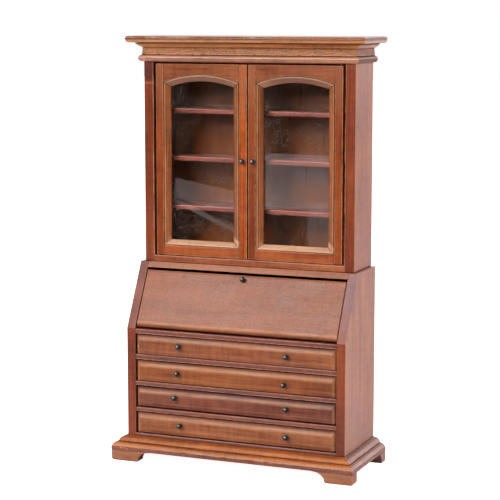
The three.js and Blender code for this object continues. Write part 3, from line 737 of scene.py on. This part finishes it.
def base_moulding():
    """Two coves over a fascia, carried round the front and the sides, and the back feet."""
    foot, top = (corner.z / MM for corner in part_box("base_moulding_front"))
    coves = [(0.05, top, 0, -1), (0.25, top, 0, -0.3)]
    coves += rounded(arc(0.3, top - 2.15, 2.65, 2.05, 88, 55, 4), wear_and_painted_light=-0.12)
    coves += rounded(arc(0.3, top - 2.15, 2.65, 2.05, 42, 10, 5), wear_and_painted_light=0.3)
    coves += [(2.98, top - 2.0, 0, 0.5), (3.0, top - 2.2, 0, -0.4), (3.02, top - 2.35, 0, -1),
              (3.15, top - 2.42, 0, -0.8)]
    coves += rounded(arc(3.3, top - 4.1, 1.9, 1.7, 86, 60, 3), wear_and_painted_light=-0.1)
    coves += rounded(arc(3.3, top - 4.1, 1.9, 1.7, 48, 20, 4), wear_and_painted_light=0.4)
    coves += [(5.24, top - 3.75, 0, 0.6)]
    fascia = [(5.3, top - 3.95, 0, 0.3), (5.42, top - 4.1, 0, -0.3), (BRACKET_OVERHANG, top - 4.5, 0, 0),
              (BRACKET_OVERHANG, top - 4.9, 0, 0), (BRACKET_OVERHANG, foot + 0.3, 0, 0),
              (5.4, foot + 0.08, 0, 0.4), (5.2, foot, 0, -0.3), (0.05, foot, 0, -1)]
    woods = (("base", 0, {"matte": 0.12, "speckle": 0.25, "grime": 0.5}),
             ("fascia", len(coves), {"mauve": 0.8, "speckle": 0.15, "marks": SCUFFS}))
    side_look = {"edge": GREY_EDGE_AND_SHEEN, "matte": 0.08, "speckle": 0.5}
    moulding_strips("base_moulding", "strip", woods, side_look, coves + fascia, "lower_side_right", 51)
    for side, node in ((-1, "base_moulding_left"), (1, "base_moulding_right")):
        back_foot(node, side, foot)


def back_foot(node, side, joint):
    """The bracket foot under the back end of a side moulding, with its coved front."""
    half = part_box("lower_side_right")[1].x
    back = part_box(node)[1].y
    toe, heel, rise = 5.2 * MM, 8.4 * MM, joint * MM
    outline = [(back, rise), (back, 0.25 * MM), (back - 0.25 * MM, 0), (back - toe + 0.4 * MM, 0)]
    outline += cove((back - toe, 0.4 * MM), (back - heel, rise))
    inner, outer = half + 0.05 * MM, half + BRACKET_OVERHANG * MM
    middle = back - toe / 2
    rings = []
    for x, inset in ((inner, 0.2), (inner + 0.2 * MM, 0), (outer - 0.25 * MM, 0), (outer, 0.25)):
        rings.append([(side * x, middle + (y - middle) * (1 - inset * 0.1),
                       z + inset * MM * (1 - z / rise) * 0.8) for y, z in outline])
    points, faces = loft(rings, flip=side < 0)
    new_piece(node.replace("base_moulding", "back_foot"), points, faces,
              [wood("fascia_side", "Y", 57 + side)], [node])


def cove(start, end, steps=8):
    """A quarter of a hollow curve that leaves start upwards and comes to end sideways."""
    (u0, v0), (u1, v1) = start, end
    angles = [math.pi / 2 * k / steps for k in range(steps + 1)]
    return [(u0 + (u1 - u0) * (1 - math.cos(a)), v0 + (v1 - v0) * math.sin(a)) for a in angles]


def front_foot(node, side):
    """A bracket foot under the base's front corner, with rounded lower corners and a coved end."""
    low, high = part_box(node)
    outer = high.x if side > 0 else -low.x
    heel = low.x if side > 0 else -high.x
    toe, corner, tip = heel + 5.3 * MM, 1.1 * MM, 0.5 * MM
    outline = [(outer, high.z)] + arc(outer - corner, corner, corner, corner, 0, -90, 6)
    outline += [(toe + tip, 0)] + cove((toe, tip), (heel, high.z))
    middle = (outer + toe) / 2
    rings = []
    for y, inset in ((low.y, 0.3), (low.y + 0.1 * MM, 0.1), (low.y + 0.3 * MM, 0), (high.y, 0)):
        rings.append([(side * (x - math.copysign(min(inset * MM, abs(x - middle)), x - middle)), y,
                       z + inset * MM * (1 - z / high.z)) for x, z in outline])
    points, faces = loft(rings, flip=side > 0)
    wear_and_painted_light = [rubbed for rubbed in (0.25, 0.4, 0, 0) for _ in outline]
    new_piece(f"{node}_bracket", points, faces, [wood("foot", "X", 63 + side, mauve=0.4)], [node],
              wear_and_painted_light=wear_and_painted_light)


# ---- slant lid ----

def panel_surface(columns, rows, place):
    """Points and faces of a rectangular grid whose points are place(u, v)."""
    points = [place(u, v) for v in rows for u in columns]
    width = len(columns)
    faces = [(r * width + c, r * width + c + 1, (r + 1) * width + c + 1, (r + 1) * width + c)
             for r in range(len(rows) - 1) for c in range(width - 1)]
    return points, faces


def spaced(low, high, fine, fine_step, step):
    """Values from low to high, close together near both ends and further apart between them."""
    near = [low + fine_step * i for i in range(int(fine / fine_step) + 1)]
    far = [high - fine_step * i for i in range(int(fine / fine_step) + 1)][::-1]
    steps = max(int((far[0] - near[-1]) / step), 1)
    middle = [near[-1] + (far[0] - near[-1]) * i / steps for i in range(1, steps)]
    return near + middle + far


LID_RADIUS = 1.7 * MM           # half the lid's thickness, and the roundness of its lower edge
LID_LENGTH = 24.1 * MM          # from the rod to the upper edge
LID_SOFT = 0.35 * MM            # how far its arrises are rounded
DENT_WIDTH, DENT_DEPTH = 0.55 * MM, 0.16 * MM


def lid_section():
    """The lid seen from its end, as (distance up from the rod, distance out from its middle)."""
    length, radius, soft, nip = LID_LENGTH, LID_RADIUS, LID_SOFT, 0.1 * MM
    section = [(length - soft, -radius), (length - nip, -radius + nip), (length, -radius + soft),
               (length, radius - soft), (length - nip, radius - nip), (length - soft, radius)]
    section += [(length - soft - (length - soft) * i / 26, radius) for i in range(1, 27)]
    return section + arc(0, 0, radius, radius, 102, 258, 13) + [(0, -radius)]


def lid_wear_and_light(s, r):
    """Pale along the top arris in front, a painted highlight along the front of the rounded lower edge, and
    painted shade where that edge turns under.
    """
    if s < 0.6 * MM and r > LID_RADIUS * 0.9 or s > LID_LENGTH - LID_SOFT and r > 0:
        return 0.4
    return -0.15 if s < 0 < r else 0.0


def slant_lid():
    """The lid, with its rounded lower edge, softened ends and one small dent."""
    low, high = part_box("slant_lid")
    joint = next(j for j in frame["joints"] if j["child"] == "desk_lid")
    pivot = Vector(joint["pos_m"])
    up = Vector((0, math.sin(SLANT), math.cos(SLANT)))
    out = Vector(SLOPE_OUT)
    section = lid_section()
    columns = spaced(low.x, high.x, 0.9 * MM, 0.1 * MM, 1.2 * MM)
    dent = Vector((-28.3 * MM, 22.2 * MM))
    rings = []
    for x in columns:
        edge = min(x - low.x, high.x - x)
        ease = LID_SOFT * max(1 - edge / LID_SOFT, 0) ** 2 * 0.6
        scale = 1 - ease / LID_RADIUS
        ring = []
        for s, r in section:
            on_face = r > LID_RADIUS * 0.9
            bulge = wobble(x, s, 0, 0.09, 0.08, 4) * MM if on_face and s > 0 else 0
            away = math.hypot((x - dent.x) / 1.6, s - dent.y)
            hollow = DENT_DEPTH * math.exp(-(away / DENT_WIDTH) ** 2) if on_face else 0
            ring.append(pivot + Vector((x, 0, 0)) + up * s + out * (r * scale + bulge - hollow))
        rings.append(ring)
    points, faces = loft(rings)
    spot = pivot + Vector((dent.x, 0, 0)) + up * dent.y + out * LID_RADIUS
    panel = wood("lid", "X", 61, marks=((spot, 0.55, srgb(120, 62, 44)),), pores=0.45, bump=0.45,
                 matte=0.07, speckle=0.2, edge=ORANGE_EDGE)
    new_piece("slant_lid_panel", points, faces, [panel], ["slant_lid"],
              wear_and_painted_light=[lid_wear_and_light(s, r) for s, r in section] * len(columns))


# ---- drawers ----

# how far the bevels of the drawer fronts reach in, and how deep they go
TOP_BEVEL, BOTTOM_BEVEL, END_BEVEL = 2.9 * MM, 1.9 * MM, 1.9 * MM
BEVEL_DEPTH, BOTTOM_DEPTH = 1.2 * MM, 0.45 * MM
# bare pale spots at the left end of the top drawer: place, radius in mm, colour
DRAWER_CHIPS = tuple(((-0.0449, -0.0154, z), size, srgb(232, 214, 196))
                     for z, size in ((0.0526, 0.4), (0.0499, 0.6), (0.0466, 0.45)))


def smooth_min(a, b, blend):
    """The smaller of two values, with a soft crossing."""
    h = max(blend - abs(a - b), 0) / blend
    return min(a, b) - h * h * blend / 4


def bevel_drop(t):
    """How deep the rounded bevel lies below the field, from 1 at the front's edge (t=0) to 0 at t=1."""
    return 0.88 * (1 - t) ** 1.6 + 0.12 * (1 - t)


def drawer_front(number):
    """A drawer front with a bevelled field raised all round, and slightly softened mitres."""
    node = f"drawer_{number}_front"
    low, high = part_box(node)
    columns = spaced(low.x, high.x, 2.4 * MM, 0.12 * MM, 0.9 * MM)
    rows = spaced(low.z, high.z, 2.7 * MM, 0.12 * MM, 0.35 * MM)
    wear_and_painted_light = []

    def place(x, z):
        side = min(x - low.x, high.x - x) / END_BEVEL
        foot, head = (z - low.z) / BOTTOM_BEVEL, (high.z - z) / TOP_BEVEL
        inward = smooth_min(side, head, 0.12)
        t = max(min(inward, 1), 0)
        drop = max(BEVEL_DEPTH * bevel_drop(t), BOTTOM_DEPTH * bevel_drop(min(foot, 1)))
        crown = 0.05 * MM * (1 - ((z - (low.z + high.z) / 2) / (high.z - low.z) * 2) ** 2)
        y = low.y + drop + (0.05 * MM - crown) * min(t, foot, 1)
        y += abs(wobble(x, number, z, 0.06, 0.12, number)) * MM
        # painted light on the bevels: a painted highlight along each bevel, stronger on the top one, a faint pale
        # line along the bottom bevel's crease, and the painted shadow of the rail above along the top edge
        above = head < side
        painted_highlight = max(1 - abs(inward - (0.68 if above else 0.55)) / 0.42, 0)
        amount = (0.5 if above else 0.35) * painted_highlight + 0.12 * max(1 - abs(foot - 0.95) / 0.3, 0)
        painted_rail_shadow = 0.75 * max(1 - inward / 0.4, 0) if above else 0
        wear_and_painted_light.append(amount - painted_rail_shadow)
        return (x, max(y, low.y), z)

    points, faces = panel_surface(columns, rows, place)
    width, count = len(columns), len(points)
    rim = list(range(width)) + [r * width + width - 1 for r in range(1, len(rows))]
    rim += [(len(rows) - 1) * width + c for c in range(width - 2, -1, -1)]
    rim += [r * width for r in range(len(rows) - 2, 0, -1)]
    points += [(points[i][0], high.y, points[i][2]) for i in rim]
    # painted shade on the front's edges, which stand in the gaps round the drawer
    wear_and_painted_light += [-1.0] * len(rim)
    for k in range(len(rim)):
        n = (k + 1) % len(rim)
        faces.append((rim[k], count + k, count + n, rim[n]))
    faces.append(tuple(count + k for k in range(len(rim))))
    marks = DRAWER_CHIPS if number == 1 else ()
    grained = wood(f"drawer_{number}", "X", 70 + number, pores=0.3, matte=0.14, marks=marks)
    new_piece(f"drawer_{number}_panel", points, faces, [grained], [node], wear_and_painted_light=wear_and_painted_light)


# ---- doors ----

ARCH_RADIUS = 48.8 * MM
BOTTOM_SHARE = 0.8              # the moulding along the bottom is narrower than the others
MITRE_LINE = ((0, 1.0), (0.12 * MM, 1.0), (0.26 * MM, 0.0))     # distance from a corner, depth of the line
# the glazing moulding: inset from the frame's edge and depth behind its face in mm, and wear and painted light
DOOR_SECTION = (
    (0.06, 0.4, -0.6), (0.1, 0.32, -0.5), (0.2, 0.24, -0.4), (0.32, 0.12, -0.1), (0.46, 0.03, 0.35),
    (0.62, 0.0, 0.5), (0.85, 0.04, 0.35), (1.05, 0.14, 0.1), (1.16, 0.24, -0.4), (1.26, 0.28, -0.4),
    (1.36, 0.3, 0), (1.6, 0.44, 0.15), (1.95, 0.76, 0.05), (2.3, 1.06, 0), (2.6, 1.26, -0.1),
    (2.78, 1.34, -0.2), (2.88, 1.4, -0.2), (2.97, 1.5, -0.4), (3.0, 1.65, -0.5), (3.0, 2.04, -0.1),
    (0.06, 2.04, 0))


def arched_outline(door, inset, steps=28):
    """The outline of a door's opening, moved inwards by inset: straight sides and a low arch.
    Points are (x, z) in metres, from the lower left corner anticlockwise."""
    low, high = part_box(f"{door}_moulding")
    glue = 0.05 * MM
    middle = (low.x + high.x) / 2
    half = (high.x - low.x) / 2 + glue - inset
    peak = high.z + glue
    centre = peak - ARCH_RADIUS
    radius = ARCH_RADIUS - inset
    spring = math.asin(half / radius)
    floor = low.z - glue + inset * BOTTOM_SHARE
    points = [(middle - half, floor), (middle + half, floor)]
    for i in range(steps + 1):
        angle = spring * (1 - 2 * i / steps)
        points.append((middle + radius * math.sin(angle), centre + radius * math.cos(angle)))
    return points


def split_sides(outline, inner_steps=24):
    """Adds points along the straight sides of an outline, and close beside its four corners. Each point
    comes as (x, z, mitre), where mitre is 1 at a corner and 0 away from it."""
    count = len(outline)
    corners = (0, 1, 2, count - 1)
    dense = []
    for i, (x0, z0) in enumerate(outline):
        x1, z1 = outline[(i + 1) % count]
        length = math.hypot(x1 - x0, z1 - z0)
        parts = inner_steps if length > 10 * MM else 1
        stops = {k / parts: 0.0 for k in range(parts)}
        for reach, mitre in MITRE_LINE:
            if i in corners:
                stops[reach / length] = mitre
            if (i + 1) % count in corners:
                stops[1 - reach / length] = mitre
        dense += [(x0 + (x1 - x0) * t, z0 + (z1 - z0) * t, stops[t]) for t in sorted(stops) if t < 1]
    return dense


def door(name, sign):
    """A door's mitred glazing moulding with its arch, and its pane."""
    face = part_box(f"{name}_hinge_stile")[0].y
    low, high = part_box(f"{name}_moulding")
    sill = low.z + 2.5 * MM
    spring = arched_outline(name, 0)[2][1]
    rings = []
    wear_and_painted_light = []
    for inset, depth, rubbed in DOOR_SECTION:
        ring = []
        for x, z, mitre in split_sides(arched_outline(name, inset * MM)):
            uneven = wobble(x, inset * MM, z, 0.025, 0.25, 2 + sign) if depth < 1.9 else 0
            groove = 0.1 * mitre if 0.1 < depth < 1.6 else 0
            ring.append((x, face + (depth + abs(uneven) + groove) * MM, z))
            shelf_like = 0.35 if z < sill and 0.3 < depth < 1.4 else 0
            # painted shade on the moulding's slopes round the arch, which face down
            painted_arch_shade = 0.15 if z > spring and 0.3 < depth < 1.4 else 0
            wear_and_painted_light.append(-0.6 if mitre else rubbed + shelf_like - painted_arch_shade)
        rings.append(ring)
    points, faces = loft(rings, closed=True, flip=True)
    around = split_sides(arched_outline(name, 0))
    index = [1 if z > spring else 2 if z < sill else 0 for _, z, _ in around] * len(DOOR_SECTION)
    woods = [wood("moulding", "Z", 80 + sign, pores=0.2),
             wood("arch", "X", 80 + sign, pores=0.2, mauve=0.3), wood("sill", "X", 80 + sign, pores=0.2)]
    new_piece(f"{name}_glazing_moulding", points, faces, woods, [f"{name}_moulding"], wear_and_painted_light=wear_and_painted_light,
              face_materials=index)

    low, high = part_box(f"{name}_glass")
    pane = [(x, z) for x, z, _ in split_sides(arched_outline(name, 0.3 * MM), 12)]
    points, faces = loft([[(x, y, z) for x, z in pane] for y in (low.y, high.y)])
    pane = new_piece(f"{name}_pane", points, faces, [glass], [f"{name}_glass"], smooth_angle=30)
    pane.visible_shadow = False


# ---- knobs, pins and wires ----

KNOB_BALL, KNOB_REACH, KNOB_NECK = 1.15, 2.6, 0.5       # ball's radius, length, neck's radius in mm


def knob(node, axis):
    """A ball on a short neck over a small turned collar, standing out along axis."""
    low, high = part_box(node)
    outward = Vector(axis).normalized()
    middle = (low + high) / 2
    seat = Vector((middle.x, high.y, middle.z))
    if abs(outward.z) > 0.01:
        seat = middle - outward * (KNOB_REACH / 2 + 0.02) * MM
    profile = [(0.82, 0.06), (0.82, 0.16), (0.76, 0.26), (0.6, 0.34), (KNOB_NECK, 0.44)]
    start = math.degrees(math.asin(KNOB_NECK / KNOB_BALL)) - 90
    ball = arc(0, KNOB_REACH - KNOB_BALL, KNOB_BALL, KNOB_BALL, start, 87, 16)
    profile += [point for point in [(0.47, 0.55)] + ball if point[1] > 0.5]
    return round_piece(node + "_turned", profile, 28, seat, outward, black, node)


def all_knobs():
    """The eleven knobs, and a small lamp that gives them their glint."""
    nodes = [f"drawer_{number}_knob_{side}" for number in range(1, 5) for side in ("left", "right")]
    facing = {node: (0, -1, 0) for node in nodes + ["left_door_knob", "right_door_knob"]}
    facing["lid_knob"] = SLOPE_OUT
    lit = bpy.data.collections.new("knobs")
    for node, axis in facing.items():
        lit.objects.link(knob(node, axis))
    lamp = add_softbox("glint", (-0.36, -0.9, 0.62), (0, 0, 0.09), size=(0.42, 0.36), power=90)
    lamp.light_linking.receiver_collection = lit


def pins():
    """The lid's rod with slightly domed ends, and the doors' hinge wires."""
    low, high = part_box("lid_hinge_rod")
    length = (high.x - low.x) / MM
    radius = (high.z - low.z) / 2 / MM
    dome = [(radius * 0.55, 0.02), (radius * 0.85, 0.06), (radius, 0.16)]
    profile = dome + [(across, length - along) for across, along in reversed(dome)]
    middle = (low + high) / 2
    round_piece("lid_rod", profile, 24, (low.x, middle.y, middle.z), (1, 0, 0), wire, "lid_hinge_rod")
    for name in ("left_door", "right_door"):
        low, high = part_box(f"{name}_hinge_wire")
        middle = (low + high) / 2
        radius = (high.x - low.x) / 2 / MM
        length = (high.z - low.z) / MM
        profile = [(radius * 0.7, 0), (radius, 0.12), (radius, length - 0.12), (radius * 0.7, length)]
        round_piece(f"{name}_pin", profile, 20, (middle.x, middle.y, low.z), (0, 0, 1), wire,
                    f"{name}_hinge_wire")


# ---- the scene ----

add_camera()
light_studio()
add_floor()
wood_tree = wood_group()
glass = glass_material()
black = knob_material()
wire = wire_material()
dress_boards()
cornice_moulding()
cornice_slab()
base_moulding()
front_foot("front_foot_left", -1)
front_foot("front_foot_right", 1)
slant_lid()
for drawer_number in range(1, 5):
    drawer_front(drawer_number)
door("left_door", -1)
door("right_door", 1)
all_knobs()
pins()
